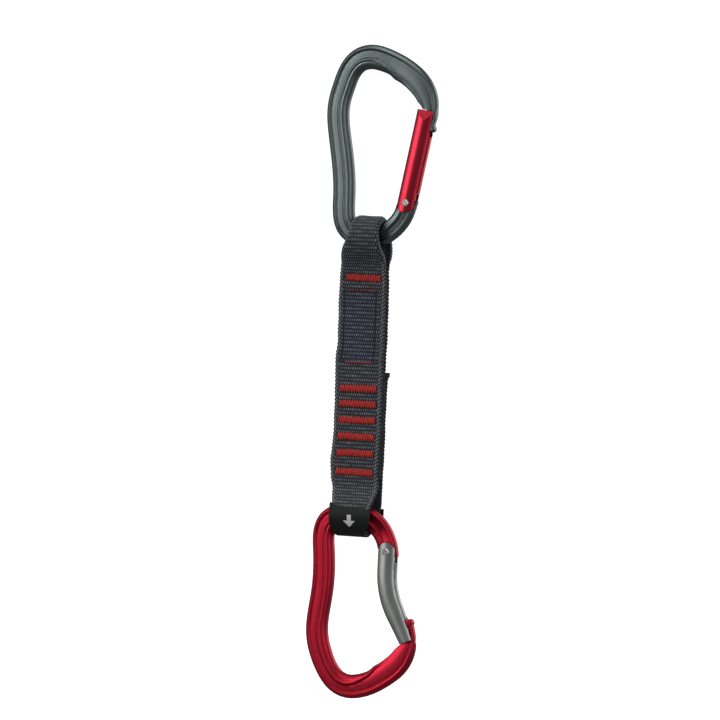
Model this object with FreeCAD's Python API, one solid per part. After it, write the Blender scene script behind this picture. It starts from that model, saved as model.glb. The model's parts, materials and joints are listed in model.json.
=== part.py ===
import FreeCAD, Part
import math
import os

# A climbing quickdraw hanging at rest: a straight-gate carabiner above, a sewn
# sling, and a bent-gate carabiner below, held square to the sling by a rubber keeper.
# Millimetres, +Z up. The origin is the point of the upper carabiner's basket that
# rests on the bolt hanger. The carabiners lie in the XZ plane, their gates on the
# +X side, and the sling's labelled face looks along -Y.

V = FreeCAD.Vector
Y_AXIS = V(0, 1, 0)

# ---- driving dimensions ----

# Carabiner frames: hot-forged bars. Each station of a frame's centre line is
# (X, Z, half width across the bar in the XZ plane, half thickness along Y).
TOP_FRAME_LINE = [
    (30.8, -19.5, 3.95, 3.9), (29.95, -14.5, 4.65, 4.2), (25.1, -6.2, 5.6, 4.5),
    (20.0, -1.6, 5.8, 4.6), (13.7, 2.2, 5.95, 4.7), (5.4, 5.6, 6.2, 4.8),
    (-2.1, 7.0, 6.3, 4.8), (-8.4, 5.3, 6.05, 4.8), (-13.0, 0.6, 5.8, 4.6),
    (-16.2, -7.3, 5.75, 4.5), (-18.3, -15.0, 5.7, 4.5), (-18.9, -22.0, 5.7, 4.5),
    (-18.0, -30.5, 5.7, 4.5), (-16.0, -41.5, 5.75, 4.5), (-14.3, -52.5, 5.75, 4.5),
    (-13.5, -63.5, 5.7, 4.5), (-13.2, -73.0, 5.7, 4.4), (-10.8, -80.3, 5.6, 4.3),
    (-4.4, -84.6, 5.3, 4.3), (2.0, -85.4, 5.2, 4.3), (8.3, -83.7, 5.2, 4.3),
    (14.6, -79.2, 5.1, 4.3), (18.9, -73.4, 5.0, 4.3), (20.9, -67.0, 5.2, 4.3),
    (21.4, -64.8, 5.3, 4.3),
]
BOTTOM_FRAME_LINE = [
    (33.1, -289.5, 3.8, 3.8), (31.5, -295.6, 4.75, 4.2), (27.2, -302.0, 5.55, 4.5),
    (20.9, -307.2, 5.75, 4.6), (14.0, -311.2, 6.0, 4.8), (7.0, -313.6, 6.1, 4.8),
    (0.8, -314.0, 6.05, 4.8), (-5.0, -311.7, 5.8, 4.7), (-9.9, -306.4, 5.6, 4.6),
    (-14.0, -298.3, 5.7, 4.5), (-16.4, -290.0, 5.7, 4.5), (-16.8, -282.0, 5.6, 4.5),
    (-15.8, -273.0, 5.6, 4.5), (-14.8, -264.0, 5.6, 4.5), (-14.6, -255.0, 5.6, 4.5),
    (-15.2, -245.0, 5.55, 4.5), (-15.6, -237.0, 5.5, 4.4), (-13.4, -230.6, 5.5, 4.3),
    (-7.4, -226.9, 5.3, 4.3), (0.0, -226.2, 5.1, 4.3), (7.4, -227.8, 5.2, 4.3),
    (13.5, -231.7, 5.2, 4.3), (17.6, -237.3, 5.0, 4.3), (19.7, -244.4, 5.2, 4.3),
    (19.8, -246.6, 5.3, 4.3),
]
SECTION_ROUNDNESS = 2.6         # exponent of the frame's rounded bar section
WEB_DEPTH = 1.45                # forged recess in the frame's faces
GROOVE_DEPTH = 0.75             # narrow groove beside the inner flange
POCKET_STEP = 1.1               # step beside the seat that centres the bolt or rope
FRAME_SECTIONS = 60

# Key-shaped noses: a flat neck, a slim finger down the outer side, and a round head.
# Stations of each finger are (X, Z, half width, half thickness).
TOP_FINGER = [
    (32.3, -13.5, 1.6, 2.4), (33.0, -17.2, 1.35, 2.9), (33.8, -20.3, 0.9, 3.05),
    (33.72, -23.0, 0.75, 2.7), (32.95, -25.8, 0.82, 2.5), (32.45, -27.6, 1.2, 2.45),
]
TOP_HEAD = (32.15, -28.75)
BOTTOM_FINGER = [
    (33.3, -295.0, 1.7, 2.5), (34.8, -291.2, 1.35, 2.8), (35.5, -288.2, 0.93, 2.5),
    (35.3, -284.7, 0.82, 2.45), (34.6, -281.9, 0.85, 2.45), (34.0, -280.4, 1.1, 2.45),
]
BOTTOM_HEAD = (33.2, -279.6)
HEAD_RADIUS = 1.95
HEAD_HALF = 2.6
HEAD_ROOM = 0.38                # clearance round a head and a finger in the gate's pocket
TOP_HEAD_EXIT = -19.0           # degrees above +X in which a head leaves its opening gate
BOTTOM_HEAD_EXIT = 24.0

# Gates: solid bars, forked at the pivot, slotted for the frame's key at the nose.
TOP_PIVOT = (20.9, -67.0)
BOTTOM_PIVOT = (19.7, -244.4)
TOP_GATE_TILT = 10.1            # degrees from vertical, leaning outward as it rises
GATE_HALF_WIDTH = 5.05
GATE_HALF_THICK = 4.35
GATE_EYE_RADIUS = 4.7           # rounded pivot end
TOP_GATE_REACH = 48.1           # pivot to free end
TOP_SLOT_START = 35.3           # pivot to the slot for the frame's neck
BEVEL_FROM = 41.5               # the free end's faces slope back above here
BEVEL_DEPTH = 1.5
BENT_STRAIGHT = 9.6             # bent gate: length below the pivot before the bend
BENT_RADIUS = 44.0
BENT_ANGLE = 27.0
BENT_TAIL = 17.4                # straight length after the bend
TAIL_TAPER = 1.05               # loss of half width along that length
BOTTOM_SLOT_START = -275.5      # Z of the upper end of its slot for the frame's neck
NOSE_GAP = 0.27                 # between a shut gate's end and its frame
FORK_HALF_SLOT = 1.8            # half width of the slots in both ends of a gate
TONGUE_HALF = 1.55              # frame tongue between the fork's ears
NECK_HALF = 1.5                 # frame's neck in the slot at a gate's nose end
CAM_START = 3.7                 # tongue radius where the plunger bears with the gate shut
CAM_RISE = 2.0                  # growth of that radius per radian of gate opening
RIVET_RADIUS = 1.3
RIVET_HEAD_RADIUS = 1.85
RUNNING_GAP = 0.05
BORE_RADIUS = 1.5
BORE_START = 4.9                # above the pivot, where the fork's slot ends
BORE_END = 24.0
PLUNGER_LENGTH = 8.0
PLUNGER_GAP = 0.3               # between the plunger's tip and the cam
SPRING_WIRE = 0.22              # wire radius
SPRING_PITCH = 1.25

# Sling: one strip of webbing, folded into an eye at each end.
WEB_THICK = 2.0
PLY_GAP = 0.1                   # between sewn plies
TOP_BAR = -85.4                 # Z of the bar axes that the eyes turn on
BOTTOM_BAR = -226.3
TOP_EYE_RADIUS = 10.4           # to the middle of the webbing
BOTTOM_EYE_RADIUS = 9.15
TOP_THROAT = (42.0, 10.0)       # each eye's throat: slope in degrees, radius of the bend
BOTTOM_THROAT = (38.0, 10.0)
OUTER_END = -153.5              # heat-cut end on the back face
INNER_END = -208.5              # the other end, hidden between the plies

# Stitching
TACK_HEIGHT = 3.6
TACK_PAD = 0.45
THREAD_RADIUS = 0.4
TOP_TACK_Z = -105.8
LOWER_TACK_Z = [-162.3, -170.2, -178.4, -186.8, -195.3, -205.0]
TOP_TACK_SPAN = (-9.6, 9.4)
LOWER_TACK_SPAN = (-10.2, 10.0)
STITCH_ROW_Z = {"stitch_row_upper": -112.3, "stitch_row_lower": -149.0}
STITCHES_PER_ROW = 11
STITCH_ROW_SPAN = (-8.6, 7.8)

# Rubber keeper
KEEPER_THICK = 1.3
KEEPER_GAP = 0.15
KEEPER_LEAN = 7.0               # degrees that its flaps lean in
MARK_THICK = 0.12


# ---- helpers ----

def smooth(value, low, high):
    """Zero below low, one above high, with an even rise between them."""
    t = min(1.0, max(0.0, (value - low) / (high - low)))
    return t * t * (3 - 2 * t)


def plateau(value, low, high, soft):
    return smooth(value, low - soft, low + soft) * (1 - smooth(value, high - soft, high + soft))


def wall(outline, y_low, y_high):
    """A closed outline of (X, Z) corners, extruded along Y."""
    corners = [V(x, y_low, z) for x, z in outline]
    face = Part.Face(Part.makePolygon(corners + corners[:1]))
    return face.extrude(V(0, y_high - y_low, 0))


def pin(x, z, radius, y_low, y_high):
    return Part.makeCylinder(radius, y_high - y_low, V(x, y_low, z), Y_AXIS)


def chords(points):
    """Running distance along a row of points."""
    run = [0.0]
    for p, q in zip(points, points[1:]):
        run.append(run[-1] + (q - p).Length)
    return run


def loft(sections):
    """A solid with one smooth skin through closed sections of equal point counts, and flat ends."""
    middle = sections[len(sections) // 2]
    around = chords(middle + middle[:1])
    rings = []
    for points in sections:
        ring = Part.BSplineCurve()
        ring.interpolate(Points=points, PeriodicFlag=True, Parameters=around)
        rings.append(ring)
    along = chords([section[0] for section in sections])
    rows = []
    for column in zip(*[ring.getPoles() for ring in rings]):
        row = Part.BSplineCurve()
        row.interpolate(Points=list(column), Parameters=along)
        rows.append(row)
    skin = Part.BSplineSurface()
    skin.buildFromPolesMultsKnots([row.getPoles() for row in rows], rings[0].getMultiplicities(),
                                  rows[0].getMultiplicities(), rings[0].getKnots(), rows[0].getKnots(),
                                  True, False, 3, 3)
    side = skin.toShape()
    ends = [Part.Face(Part.Wire([edge])) for edge in side.Edges if edge.Curve.isPeriodic()]
    shell = Part.Shell([side] + ends)
    shell.sewShape()
    solid = Part.Solid(shell)
    if solid.Volume < 0:
        solid.reverse()
    return solid


def place(shape, pivot, tilt, upward):
    """From a gate's own frame (pivot at the origin, free end +Z, outer side +X)."""
    shape = shape.copy()
    if not upward:
        shape.rotate(V(0, 0, 0), V(1, 0, 0), 180)
    shape.rotate(V(0, 0, 0), Y_AXIS, tilt)
    shape.translate(V(pivot[0], 0, pivot[1]))
    return shape


# ---- carabiner frames ----

SECTION_ACROSS = [1.0, 0.965, 0.9, 0.82, 0.73, 0.65, 0.58, 0.5, 0.4, 0.25, 0.1, -0.05, -0.15, -0.24,
                  -0.33, -0.42, -0.5, -0.58, -0.67, -0.78, -0.88, -0.955]


def frame_section(centre, tangent, outward, half_width, half_thick, along, pocket):
    """One I-beam section: +1 is the frame's outer edge and -1 its inner edge."""
    normal = V(tangent.z, 0, -tangent.x) * outward
    recess = WEB_DEPTH * (0.45 + 0.55 * smooth(along, 0.06, 0.2)) * (1 - 0.85 * smooth(along, 0.93, 0.99))
    web_edge = -0.80 + 0.68 * smooth(along, 0.10, 0.26)
    groove = GROOVE_DEPTH * plateau(along, 0.24, 0.92, 0.05)

    def point(across, side):
        reach = half_width if across > 0 else half_width + pocket
        height = half_thick * (1 - abs(across) ** SECTION_ROUNDNESS) ** (1 / SECTION_ROUNDNESS)
        height -= recess * plateau(across, web_edge, 0.56, 0.1)
        height -= groove * plateau(across, -0.47, -0.40, 0.09)
        return centre + normal * (across * reach) + V(0, side * height, 0)

    front = [point(across, -1) for across in SECTION_ACROSS]
    back = [point(across, 1) for across in SECTION_ACROSS[:0:-1]]
    return front + [point(-1.0, 1)] + back


def frame_bar(stations, outward, pocket_from, pocket_to):
    """The forged bar along its centre line, from the nose round to the pivot."""
    line = [V(x, 0, z) for x, z, half_width, half_thick in stations]
    run = chords(line)
    path = Part.BSplineCurve()
    path.interpolate(Points=line, Parameters=run)
    size = Part.BSplineCurve()
    size.interpolate(Points=[V(s[2], s[3], r) for s, r in zip(stations, run)], Parameters=run)
    sections = []
    for step in range(FRAME_SECTIONS):
        along = step / (FRAME_SECTIONS - 1)
        here = run[-1] * along
        tangent = path.tangent(here)[0]
        half_width, half_thick = size.value(here)[0], size.value(here)[1]
        pocket = POCKET_STEP * plateau(along, pocket_from, pocket_to, 0.012)
        sections.append(frame_section(path.value(here), tangent, outward, half_width, half_thick,
                                      along, pocket))
    return loft(sections)


def tongue():
    """The frame's tongue between the gate's ears, in the gate's own frame.

    Its top edge is a cam: its radius grows as the gate turns inward, which pushes
    the plunger up its bore and loads the spring.
    """
    outline = []
    for degrees in range(-20, 41, 5):
        angle = math.radians(degrees)
        radius = CAM_START + CAM_RISE * max(0.0, angle)
        outline.append((-radius * math.sin(angle), radius * math.cos(angle)))
    outline += [(-4.3, 1.6), (-4.2, -1.5), (-3.4, -7.0), (3.4, -7.0), (3.9, -1.5), (3.6, 0.8)]
    return wall(outline, -TONGUE_HALF, TONGUE_HALF)


def gate_room():
    """The space that a gate's pivot end sweeps as it opens, in the gate's own frame."""
    edge = GATE_EYE_RADIUS + NOSE_GAP
    corridor = wall([(edge, 0), (edge, 14), (-13, 14), (-0.94 * edge, -2.4)], -9, 9)
    return pin(0, 0, edge, -9, 9).fuse(corridor)


def carabiner_frame(stations, outward, pocket, pivot, tilt, nose, nose_room):
    upward = outward > 0
    bar = frame_bar(stations, outward, pocket[0], pocket[1])
    beyond = place(wall([(-9, 3.0), (9, 3.0), (9, 14), (-9, 14)], -9, 9), pivot, tilt, upward)
    full_cut = place(gate_room(), pivot, tilt, upward)
    body = bar.cut(full_cut).cut(beyond).cut(nose_room)
    body = body.fuse(place(tongue(), pivot, tilt, upward)).fuse(nose)
    hole = pin(pivot[0], pivot[1], RIVET_RADIUS + RUNNING_GAP, -9, 9)
    return body.cut(hole)


def rounded_section(centre, outward_dir, half_width, half_thick):
    """Oval section of a nose's finger."""
    points = []
    for k in range(20):
        angle = 2 * math.pi * k / 20
        c, s = math.cos(angle), math.sin(angle)
        across = half_width * math.copysign(abs(c) ** 0.75, c)
        points.append(centre + outward_dir * across + V(0, half_thick * math.copysign(abs(s) ** 0.75, s), 0))
    return points


def key_nose(finger, head, neck_outline):
    """Keylock nose: a neck in the gate's slot, a finger along its outer side and a round key head."""
    line = [V(x, 0, z) for x, z, half_width, half_thick in finger]
    sections = []
    for i, (x, z, half_width, half_thick) in enumerate(finger):
        ahead = line[min(i + 1, len(line) - 1)] - line[max(i - 1, 0)]
        ahead.normalize()
        side = V(-ahead.z, 0, ahead.x)
        if side.x < 0:
            side = side * -1
        sections.append(rounded_section(line[i], side, half_width, half_thick))
    key = pin(head[0], head[1], HEAD_RADIUS, -HEAD_HALF, HEAD_HALF)
    rims = [edge for edge in key.Edges if abs(abs(edge.CenterOfMass.y) - HEAD_HALF) < 0.01]
    key = key.makeFillet(0.9, rims)
    return wall(neck_outline, -NECK_HALF, NECK_HALF).fuse(loft(sections)).fuse(key)


def top_nose():
    neck = [(28.9, -17.0), (33.9, -17.0), (34.0, -20.5), (33.8, -23.0), (33.0, -26.0), (32.6, -28.8),
            (30.6, -28.7), (29.9, -24.5)]
    return key_nose(TOP_FINGER, TOP_HEAD, neck)


def bottom_nose():
    neck = [(31.6, -294.0), (35.6, -294.0), (35.7, -288.0), (35.3, -284.5), (34.3, -281.0), (33.2, -279.6),
            (32.0, -280.2), (32.0, -284.0)]
    return key_nose(BOTTOM_FINGER, BOTTOM_HEAD, neck)


# ---- gates ----

def gate_section(centre, outward_dir, half_width, half_thick, crown):
    """Rounded bar with a low crown along the middle of each face."""
    points = []
    count = 28
    for k in range(count):
        angle = 2 * math.pi * k / count
        c, s = math.cos(angle), math.sin(angle)
        across = half_width * math.copysign(abs(c) ** (2 / 2.7), c)
        height = half_thick * math.copysign(abs(s) ** (2 / 2.7), s)
        height *= 1 - crown * min(1.0, abs(across) / half_width * 1.5)
        points.append(centre + outward_dir * across + V(0, height, 0))
    return points


def gate_bar(line):
    """A gate's bar through (X, Z, slope in degrees, half width), in its own frame."""
    sections = []
    for x, z, slope, half_width in line:
        outward_dir = V(math.cos(math.radians(slope)), 0, -math.sin(math.radians(slope)))
        sections.append(gate_section(V(x, 0, z), outward_dir, half_width, GATE_HALF_THICK, 0.08))
    return loft(sections)


def gate_fittings_cut():
    """Fork slot, eye, rivet holes, plunger bore and outer relief, in the gate's own frame."""
    fork = Part.makeBox(24, 2 * FORK_HALF_SLOT, 16, V(-12, -FORK_HALF_SLOT, -16 + BORE_START + 0.6))
    bore = Part.makeCylinder(BORE_RADIUS, BORE_END - BORE_START, V(0, 0, BORE_START))
    ears = Part.makeBox(24, 24, 12, V(-12, -12, -12)).cut(pin(0, 0, GATE_EYE_RADIUS, -12, 12))
    relief = Part.makeBox(6, 24, 17.8, V(GATE_EYE_RADIUS - 0.25, -12, -12))
    holes = pin(0, 0, RIVET_RADIUS, -12, 12)
    return fork.fuse(bore).fuse(ears).fuse(relief).fuse(holes)


def nose_pocket(head, exit_angle, finger_room):
    """Room in a gate for a nose's head and finger, open on the outer side, in XZ coordinates."""
    radius = HEAD_RADIUS + HEAD_ROOM
    half = HEAD_HALF + 0.3
    socket = pin(head[0], head[1], radius, -half, half)
    mouth = Part.makeBox(9, 2 * half, 2 * radius, V(0, -half, -radius))
    mouth.rotate(V(0, 0, 0), Y_AXIS, -exit_angle)
    mouth.translate(V(head[0], 0, head[1]))
    return socket.fuse(mouth).fuse(wall(finger_room, -half, half))


def top_gate():
    line = [(0, z, 0, GATE_HALF_WIDTH) for z in (-6, 6, 18, 30, 42, 52)]
    body = gate_bar(line).cut(gate_fittings_cut())
    keep = pin(0, 0, TOP_GATE_REACH, -9, 9)
    body = body.common(keep.fuse(pin(0, 0, 10, -9, 9)))
    body = body.cut(Part.makeBox(20, 2 * FORK_HALF_SLOT, 24, V(-0.5, -FORK_HALF_SLOT, TOP_SLOT_START)))
    bevel_top = TOP_GATE_REACH + 1
    corners = [V(-12, GATE_HALF_THICK + 0.4, BEVEL_FROM), V(-12, GATE_HALF_THICK + 0.4, bevel_top),
               V(-12, GATE_HALF_THICK - BEVEL_DEPTH, bevel_top)]
    bevel = Part.Face(Part.makePolygon(corners + corners[:1])).extrude(V(24, 0, 0))
    body = place(body.cut(bevel).cut(bevel.mirror(V(0, 0, 0), Y_AXIS)), TOP_PIVOT, TOP_GATE_TILT, True)
    finger_room = [(33.3, -17.0), (32.85, -20.5), (32.65, -23.0), (31.8, -26.0), (30.2, -28.7), (38.0, -30.0),
                   (38.0, -17.0)]
    return body.cut(nose_pocket(TOP_HEAD, TOP_HEAD_EXIT, finger_room)).removeSplitter()


def bent_gate_line():
    """Stations of the bent gate, from above the pivot down to past its free end."""
    line = [(0, z, 0, GATE_HALF_WIDTH) for z in (-6, 0, 6)]
    steps = 6
    for k in range(steps + 1):
        slope = BENT_ANGLE * k / steps
        angle = math.radians(slope)
        x = BENT_RADIUS * (1 - math.cos(angle))
        z = BENT_STRAIGHT + BENT_RADIUS * math.sin(angle)
        line.append((x, z, slope, GATE_HALF_WIDTH))
    x, z = line[-1][0], line[-1][1]
    angle = math.radians(BENT_ANGLE)
    for run in (6, 12, BENT_TAIL, BENT_TAIL + 4):
        width = GATE_HALF_WIDTH - TAIL_TAPER * run / BENT_TAIL
        line.append((x + run * math.sin(angle), z + run * math.cos(angle), BENT_ANGLE, width))
    return line


def bottom_gate():
    body = gate_bar(bent_gate_line()).cut(gate_fittings_cut())
    body = place(body, BOTTOM_PIVOT, 0, False)
    body = body.cut(wall([(24.0, -292.7), (40.0, -286.1), (40.0, -300), (24.0, -300)], -9, 9))
    slot = Part.makeBox(24, 2 * FORK_HALF_SLOT, 40, V(31.2, -FORK_HALF_SLOT, BOTTOM_SLOT_START - 40))
    finger_room = [(33.5, -293.0), (33.85, -287.7), (33.9, -284.5), (33.2, -281.9), (31.3, -279.6),
                   (40.0, -278.0), (40.0, -293.0)]
    return body.cut(slot).cut(nose_pocket(BOTTOM_HEAD, BOTTOM_HEAD_EXIT, finger_room)).removeSplitter()


def rivet():
    """Peened rivet: a shank through both ears and a low domed head on each face."""
    grip = GATE_HALF_THICK - 0.12
    shank = pin(0, 0, RIVET_RADIUS, -grip, grip)
    for side in (-1, 1):
        head = Part.makeCone(RIVET_HEAD_RADIUS, RIVET_HEAD_RADIUS - 0.45, 0.5, V(0, side * (grip - 0.05), 0),
                             V(0, side, 0))
        shank = shank.fuse(head)
    return shank


def plunger():
    """Round-nosed pin in the gate's bore, bearing on the tongue's cam."""
    tip_z = CAM_START + PLUNGER_GAP
    radius = BORE_RADIUS - 0.15
    body = Part.makeCylinder(radius, PLUNGER_LENGTH - 1.0, V(0, 0, tip_z + 1.0))
    nose = Part.makeCone(0.55, radius, 1.0, V(0, 0, tip_z))
    return body.fuse(nose).removeSplitter()


def spring():
    """Compression coil between the plunger and the blind end of the bore."""
    start = CAM_START + PLUNGER_GAP + PLUNGER_LENGTH + SPRING_WIRE
    coil_radius = BORE_RADIUS - 0.15 - SPRING_WIRE
    height = BORE_END - SPRING_WIRE - start - 0.02
    helix = Part.makeHelix(SPRING_PITCH, height, coil_radius)
    wire = Part.Wire([Part.Circle(V(coil_radius, 0, 0), Y_AXIS, SPRING_WIRE).toShape()])
    body = Part.Wire(helix).makePipeShell([wire], True, True)
    body.translate(V(0, 0, start))
    return body


# ---- sling ----

class Strip:
    """Walks along the middle of the webbing in the YZ plane and keeps both of its faces."""

    def __init__(self, y, z, heading):
        self.y, self.z, self.heading = y, z, heading
        self.faces = {-1: [], 1: []}
        self.first_end = [self.at(side) for side in (-1, 1)]

    def at(self, side, y=None, z=None, heading=None):
        y = self.y if y is None else y
        z = self.z if z is None else z
        angle = math.radians(self.heading if heading is None else heading)
        half = side * WEB_THICK / 2
        return V(0, y - half * math.sin(angle), z + half * math.cos(angle))

    def line(self, length):
        angle = math.radians(self.heading)
        y, z = self.y + length * math.cos(angle), self.z + length * math.sin(angle)
        for side in (-1, 1):
            self.faces[side].append(Part.LineSegment(self.at(side), self.at(side, y, z)).toShape())
        self.y, self.z = y, z

    def turn(self, radius, degrees):
        """Positive degrees turn left."""
        way = math.copysign(1, degrees)
        start = math.radians(self.heading)
        centre = (self.y - way * radius * math.sin(start), self.z + way * radius * math.cos(start))

        def pose(part):
            heading = self.heading + degrees * part
            angle = math.radians(heading)
            return (centre[0] + way * radius * math.sin(angle), centre[1] - way * radius * math.cos(angle), heading)

        for side in (-1, 1):
            points = [self.at(side, *pose(part)) for part in (0, 0.5, 1)]
            self.faces[side].append(Part.Arc(*points).toShape())
        self.y, self.z, self.heading = pose(1)

    def solid(self, x_low, x_high):
        edges = self.faces[-1] + self.faces[1]
        for ends in (self.first_end, [self.at(side) for side in (-1, 1)]):
            edges.append(Part.LineSegment(*ends).toShape())
        wire = Part.Wire(Part.__sortEdges__(edges))
        body = Part.Face(wire).extrude(V(x_high - x_low, 0, 0))
        body.translate(V(x_low, 0, 0))
        return body


def throat(eye_radius, offset, slope, bend):
    """Straight run and height of an eye's throat, for a ply that lies offset from the bar's plane."""
    angle = math.radians(slope)
    run = (eye_radius * math.cos(angle) - offset - bend * (1 - math.cos(angle))) / math.sin(angle)
    height = eye_radius * math.sin(angle) + run * math.cos(angle) + bend * math.sin(angle)
    return run, height


PITCH = WEB_THICK + PLY_GAP
FRONT_Y = -PITCH / 2
MIDDLE_Y = PITCH / 2
BACK_Y = PITCH * 1.5


def webbing_strip():
    """The strip's whole run, from its end on the back to its end between the plies."""
    top_run, top_height = throat(TOP_EYE_RADIUS, PITCH / 2, *TOP_THROAT)
    back_run, back_height = throat(BOTTOM_EYE_RADIUS, BACK_Y, *BOTTOM_THROAT)
    front_run, front_height = throat(BOTTOM_EYE_RADIUS, -FRONT_Y, *BOTTOM_THROAT)
    strip = Strip(BACK_Y, OUTER_END, -90)
    slope, bend = BOTTOM_THROAT
    strip.line(OUTER_END - (BOTTOM_BAR + back_height))
    strip.turn(bend, slope)
    strip.line(back_run)
    strip.turn(BOTTOM_EYE_RADIUS, -(180 + 2 * slope))
    strip.line(front_run)
    strip.turn(bend, slope)
    strip.line((TOP_BAR - top_height) - (BOTTOM_BAR + front_height))
    slope, bend = TOP_THROAT
    strip.turn(bend, slope)
    strip.line(top_run)
    strip.turn(TOP_EYE_RADIUS, -(180 + 2 * slope))
    strip.line(top_run)
    strip.turn(bend, slope)
    strip.line((TOP_BAR - top_height) - INNER_END)
    return strip


# Edges of the webbing seen from the front: Z, left X, right X.
WEBBING_EDGES = [
    (-72.0, -6.3, 8.2), (-82.0, -6.35, 8.6), (-88.0, -8.3, 9.8), (-95.0, -11.1, 10.9),
    (-103.0, -12.7, 11.8), (-112.0, -12.9, 12.6), (-206.0, -12.9, 12.9), (-213.0, -11.7, 12.4),
    (-220.0, -9.5, 12.0), (-224.0, -8.8, 11.3), (-228.0, -7.8, 9.6), (-232.0, -7.3, 7.4),
    (-240.0, -7.3, 7.4),
]
KEEPER_OUTLINE = [
    (-9.4, -220.6), (-7.6, -220.6), (-7.2, -221.9), (10.2, -223.2), (12.4, -223.3), (12.2, -231.2),
    (8.2, -235.6), (7.7, -240.0), (-7.6, -240.0), (-8.1, -236.4), (-9.4, -233.2),
]


def webbing_outline():
    left = [(low, z) for z, low, high in WEBBING_EDGES]
    right = [(high, z) for z, low, high in reversed(WEBBING_EDGES)]
    return left + right


def tack_columns(z, span, count):
    step = (span[1] - span[0]) / (count + 1)
    return [(span[0] + step * (k + 1), z) for k in range(count)]


def bar_tack(z, span, back_face):
    """A bar tack: thread pads on both faces, joined by threads through the plies."""
    low, high = span
    front_face = FRONT_Y - WEB_THICK / 2
    outline = [(low, z - TACK_HEIGHT / 2), (high, z - TACK_HEIGHT / 2), (high, z + TACK_HEIGHT / 2),
               (low, z + TACK_HEIGHT / 2)]
    body = wall(outline, front_face - TACK_PAD, front_face).fuse(wall(outline, back_face, back_face + TACK_PAD))
    for x, column_z in tack_columns(z, span, 5):
        body = body.fuse(pin(x, column_z, THREAD_RADIUS, front_face - 0.1, back_face + 0.1))
    return body.removeSplitter()


def stitch_row(z):
    """Running stitches: each one a short thread on both faces and one through the plies."""
    front_face, back_face = FRONT_Y - WEB_THICK / 2, MIDDLE_Y + WEB_THICK / 2
    stitches = []
    for x, stitch_z in tack_columns(z, STITCH_ROW_SPAN, STITCHES_PER_ROW):
        outline = [(x - 0.55, z - 0.45), (x + 0.55, z - 0.45), (x + 0.55, z + 0.45), (x - 0.55, z + 0.45)]
        stitch = wall(outline, front_face - 0.25, front_face).fuse(wall(outline, back_face, back_face + 0.25))
        stitch = stitch.fuse(pin(x, stitch_z, THREAD_RADIUS * 0.8, front_face - 0.1, back_face + 0.1))
        stitches.append(stitch)
    return Part.makeCompound(stitches)


def sling_webbing(stitching):
    body = webbing_strip().solid(-20, 20).common(wall(webbing_outline(), -20, 20))
    corner = wall([(12.0, OUTER_END), (14.6, OUTER_END - 1.2), (13.0, OUTER_END - 4.0), (12.0, OUTER_END - 4.2)],
                  BACK_Y - WEB_THICK / 2, BACK_Y + WEB_THICK / 2)
    body = body.fuse(corner)
    for thread in stitching:
        body = body.cut(thread)
    return body.removeSplitter()


def rubber_keeper():
    """Moulded cup round the lower eye, open upward, with a cut-out for the frame's bar."""
    inner = BOTTOM_EYE_RADIUS + WEB_THICK / 2 + KEEPER_GAP
    outer = inner + KEEPER_THICK
    ring = Part.makeCylinder(outer, 40, V(-20, 0, BOTTOM_BAR), V(1, 0, 0))
    ring = ring.cut(Part.makeCylinder(inner, 40, V(-20, 0, BOTTOM_BAR), V(1, 0, 0)))
    below = Part.makeBox(40, 40, 20, V(-20, -20, BOTTOM_BAR - 20))
    cup = ring.common(below)
    for side in (-1, 1):
        flap = Part.makeBox(40, KEEPER_THICK, 7.5, V(-20, -outer, 0))
        flap.rotate(V(0, -outer, 0), V(1, 0, 0), -KEEPER_LEAN)
        if side > 0:
            flap = flap.mirror(V(0, 0, 0), Y_AXIS)
        flap.translate(V(0, 0, BOTTOM_BAR))
        cup = cup.fuse(flap)
    return cup.common(wall(KEEPER_OUTLINE, -20, 20)).removeSplitter()


def keeper_mark():
    """Plain printed arrow, pointing to the rope end, on the keeper's front."""
    outer = BOTTOM_EYE_RADIUS + WEB_THICK / 2 + KEEPER_GAP + KEEPER_THICK
    skin = Part.makeCylinder(outer + MARK_THICK, 40, V(-20, 0, BOTTOM_BAR), V(1, 0, 0))
    skin = skin.cut(Part.makeCylinder(outer, 40, V(-20, 0, BOTTOM_BAR), V(1, 0, 0)))
    x, z = 1.7, -229.4
    arrow = wall([(x - 1.1, z + 3.0), (x + 1.1, z + 3.0), (x + 1.1, z), (x + 3.2, z), (x, z - 3.2), (x - 3.2, z),
                  (x - 1.1, z)], -20, 0)
    return skin.common(arrow)


# ---- nodes ----

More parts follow.
